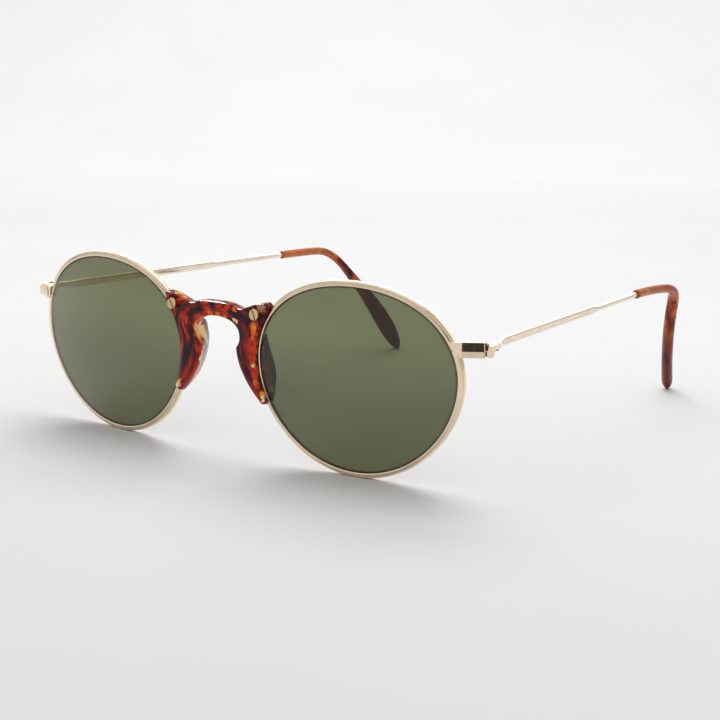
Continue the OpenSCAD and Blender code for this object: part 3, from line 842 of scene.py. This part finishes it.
def front_block():
    """The square block at the arm's front, cut to its side view and to its view from the front."""
    inner_at, outer_at = from_end(BLOCK_FROM, 0), from_end(BLOCK_FROM + BLOCK_FACE, 0)
    y = outer_at[1]
    obj = prism("block", [
        inner_at, outer_at, [outer_at[0] + 0.05, y + 1.2], [arm_x(8.2) + 0.76, 8.2],
        [arm_x(9.6) + 0.74, 9.6], [arm_x(9.6) - 0.75, 9.6], [arm_x(8.2) - 0.75, 8.2],
        [arm_x(7) - 0.7, 7]], END_Z, END_TOP, "z")
    trimmed(obj, [
        [3, END_Z + 0.1], [y + 0.1, END_Z + 0.1], [y + 0.45, 29.9], [y + 0.75, 30.6], [y + 1.5, 30.85],
        [9.6, 30.8], [9.6, 32.05], [8.2, 32], [3, BLOCK_TOP]], 50, 80, "x")
    face_on = (Matrix.Translation((END_AT[0] * MM, END_AT[1] * MM, 0))
               @ Matrix.Rotation(math.radians(END_SWEEP), 4, "Z"))
    trimmed(obj, [
        [BLOCK_FROM, END_Z - 1], [20, END_Z - 1], [20, END_TOP + 1], [BLOCK_FROM + 0.6, END_TOP + 1],
        [BLOCK_FROM + 0.6, END_TOP], [BLOCK_FROM, BLOCK_TOP - 1.5]], -10, 20, "y", face_on)
    obj.data.transform(LEAN)
    bevelled(obj, 0.12)
    return obj


for piece, label, plating in ((arm(), "temple_arm", ARM_GOLD), (front_block(), "temple_block", GOLD)):
    piece.data.transform(TO_FRONT)
    both_sides(piece, label, "temple", "temple_{side}", plating, label == "temple_block")

# ------------------------------------------------------------------ small metal pieces

def dressed(node_name, bevel, material, angle=25):
    """A copy of a CAD piece with softened edges."""
    source = frame["nodes"][node_name]
    mesh = source.data.copy()
    bm = bmesh.new()
    bm.from_mesh(mesh)
    bmesh.ops.remove_doubles(bm, verts=bm.verts, dist=1e-6)
    bmesh.ops.dissolve_limit(bm, angle_limit=math.radians(1.5), verts=bm.verts, edges=bm.edges)
    bm.to_mesh(mesh)
    bm.free()
    obj = linked(node_name + "_finished", mesh)
    bevelled(obj, bevel, angle)
    hold_flats(obj)
    place(obj, node_name, source["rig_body"], material)
    return obj


for side in ("left", "right"):
    dressed(f"endpiece_{side}", 0.09, GOLD, 15)
    for part in ("closing_block_upper", "closing_block_lower", "upper_lug", "lower_lug"):
        dressed(f"{part}_{side}", 0.05, GOLD)
    # The hinge leaf and tongue take the dark brass of painted shade.
    for part in ("hinge_leaf", "hinge_tongue"):
        dressed(f"{part}_{side}", 0.05, SHADED_HINGE_BRASS)
    for part in ("bridge_screw", "closing_screw", "hinge_screw"):
        dressed(f"{part}_{side}", 0.07, SCREW_GOLD)

# ------------------------------------------------------------------ stage, lights and camera

def backdrop():
    """A pale sweep: flat floor, then a wide curve up to a wall."""
    near, far, bend, top, half_width, facing = -1.4, 0.75, 0.6, 2.2, 3.6, 36
    profile = [(near, 0.0), (far, 0.0)]
    profile += [(far + bend * dsin(3 * k), bend - bend * dcos(3 * k)) for k in range(1, 31)]
    profile.append((far + bend, top))
    bm = bmesh.new()
    turn = Matrix.Rotation(math.radians(facing), 3, "Z")
    rows = [[bm.verts.new(turn @ Vector((x, y, z))) for y, z in profile]
            for x in (-half_width, half_width)]
    for i in range(len(profile) - 1):
        bm.faces.new((rows[0][i], rows[0][i + 1], rows[1][i + 1], rows[1][i]))
    mesh = bpy.data.meshes.new("backdrop")
    bm.to_mesh(mesh)
    bm.free()
    mesh.shade_smooth()
    obj = linked("backdrop", mesh)
    m, nt, bsdf = new_material("pale_paper")
    nt.links.new(ramp(nt, [(0.3, 0.79), (0.7, 0.81)], noise(nt, object_place(nt), 9, 3)),
                 bsdf.inputs["Base Color"])
    bsdf.inputs["Roughness"].default_value = 0.7
    bsdf.inputs["Specular IOR Level"].default_value = 0
    obj.data.materials.append(m)
    return obj


backdrop()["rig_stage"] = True


def softbox(name, at, aim, size, power_w):
    light = bpy.data.lights.new(name, "AREA")
    light.shape = "RECTANGLE"
    light.size, light.size_y = size
    light.energy = power_w
    obj = linked(name, light)
    obj.location = at
    obj.rotation_euler = (Vector(aim) - Vector(at)).to_track_quat("-Z", "Y").to_euler()
    return obj


def flag(name, at, facing, size):
    """A dark card that only shows in reflections."""
    bm = bmesh.new()
    half = size / 2
    corners = [(-half, -half), (half, -half), (half, half), (-half, half)]
    bm.faces.new([bm.verts.new((x, y, 0)) for x, y in corners])
    mesh = bpy.data.meshes.new(name)
    bm.to_mesh(mesh)
    bm.free()
    obj = linked(name, mesh)
    obj.location = at
    obj.rotation_euler = (Vector(facing) - Vector(at)).to_track_quat("Z", "Y").to_euler()
    m, nt, bsdf = new_material(name)
    cloud = noise(nt, object_place(nt), 40, 2)
    nt.links.new(ramp(nt, [(0.6, (0.004, 0.003, 0.003)), (0.75, (0.2, 0.08, 0.03))], cloud),
                 bsdf.inputs["Base Color"])
    obj.data.materials.append(m)
    obj.visible_camera = obj.visible_diffuse = obj.visible_shadow = obj.visible_transmission = False
    obj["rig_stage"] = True


def reflected_only(light, receivers):
    """A light that only shows as a reflection in the given pieces."""
    light.visible_diffuse = False
    group = bpy.data.collections.new(light.name + "_receivers")
    for obj in receivers:
        group.objects.link(obj)
    light.light_linking.receiver_collection = group


flag("dark_card", (0.21, -0.536, 0.069), (0.0635, -0.06, 0.0317), 0.16)
ORIGIN, BACK_AT, BACK_SIZE = (0, 0, 0), (-0.72, 0.98, 1.05), (1.0, 0.7)
back_light = softbox("back_light", BACK_AT, ORIGIN, BACK_SIZE, 9.5)
back_light.visible_glossy = False
softbox("top_light", (-0.05, 0.07, 0.42), (-0.05, 0.07, 0), (0.4, 0.25), 0.55)
softbox("wall_wash", (-0.45, 0.6, 1.7), (-0.95, 1.35, 0.35), (1.6, 0.4), 5)
metal = [o for o in bpy.data.objects if o.type == "MESH" and o.data.materials
         and o.data.materials[0] in (GOLD, ARM_GOLD, SCREW_GOLD)]
shells = [o for o in bpy.data.objects if o.name.startswith(("bridge_shell", "tip_shell"))]
reflected_only(softbox("back_card", BACK_AT, ORIGIN, BACK_SIZE, 9), metal)
reflected_only(softbox("rear_card", (-0.62, 0.87, 0.55), ORIGIN, (1.4, 0.8), 6.5), metal)
reflected_only(softbox("side_card", (0.3, 1.1, 0.6), ORIGIN, (1.0, 0.6), 1.5), metal)
reflected_only(softbox("edge_card", (-0.6, -0.3, 0.62), ORIGIN, (0.5, 0.3), 60), shells)

world = bpy.data.worlds.new("studio")
bpy.context.scene.world = world
world.use_nodes = True
sky = world.node_tree.nodes["Background"]
sky.inputs["Color"].default_value = (1, 1, 1, 1)
sky.inputs["Strength"].default_value = 0.615
bpy.context.scene.view_settings.view_transform = "Standard"

CAMERA_AT = Vector((241.939, -340.716, 93.233)) * MM
RIGHT = Vector((0.80316703, 0.59561821, 0.01271482))
UP = Vector((-0.12342954, 0.1454846, 0.98163098))
BACK = RIGHT.cross(UP)
camera_data = bpy.data.cameras.new("camera")
camera_data.sensor_width = 36
camera_data.lens = 82.3165
camera_data.clip_start = 0.01
camera = bpy.data.objects.new("camera", camera_data)
bpy.context.scene.collection.objects.link(camera)
camera.matrix_world = Matrix(((RIGHT.x, UP.x, BACK.x, CAMERA_AT.x), (RIGHT.y, UP.y, BACK.y, CAMERA_AT.y),
                              (RIGHT.z, UP.z, BACK.z, CAMERA_AT.z), (0, 0, 0, 1)))
bpy.context.scene.camera = camera


def plain(bounds):
    return [list(v) if hasattr(v, "__len__") else v for v in bounds]


{"cad": plain(cad_bounds), "visual": plain(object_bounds())}
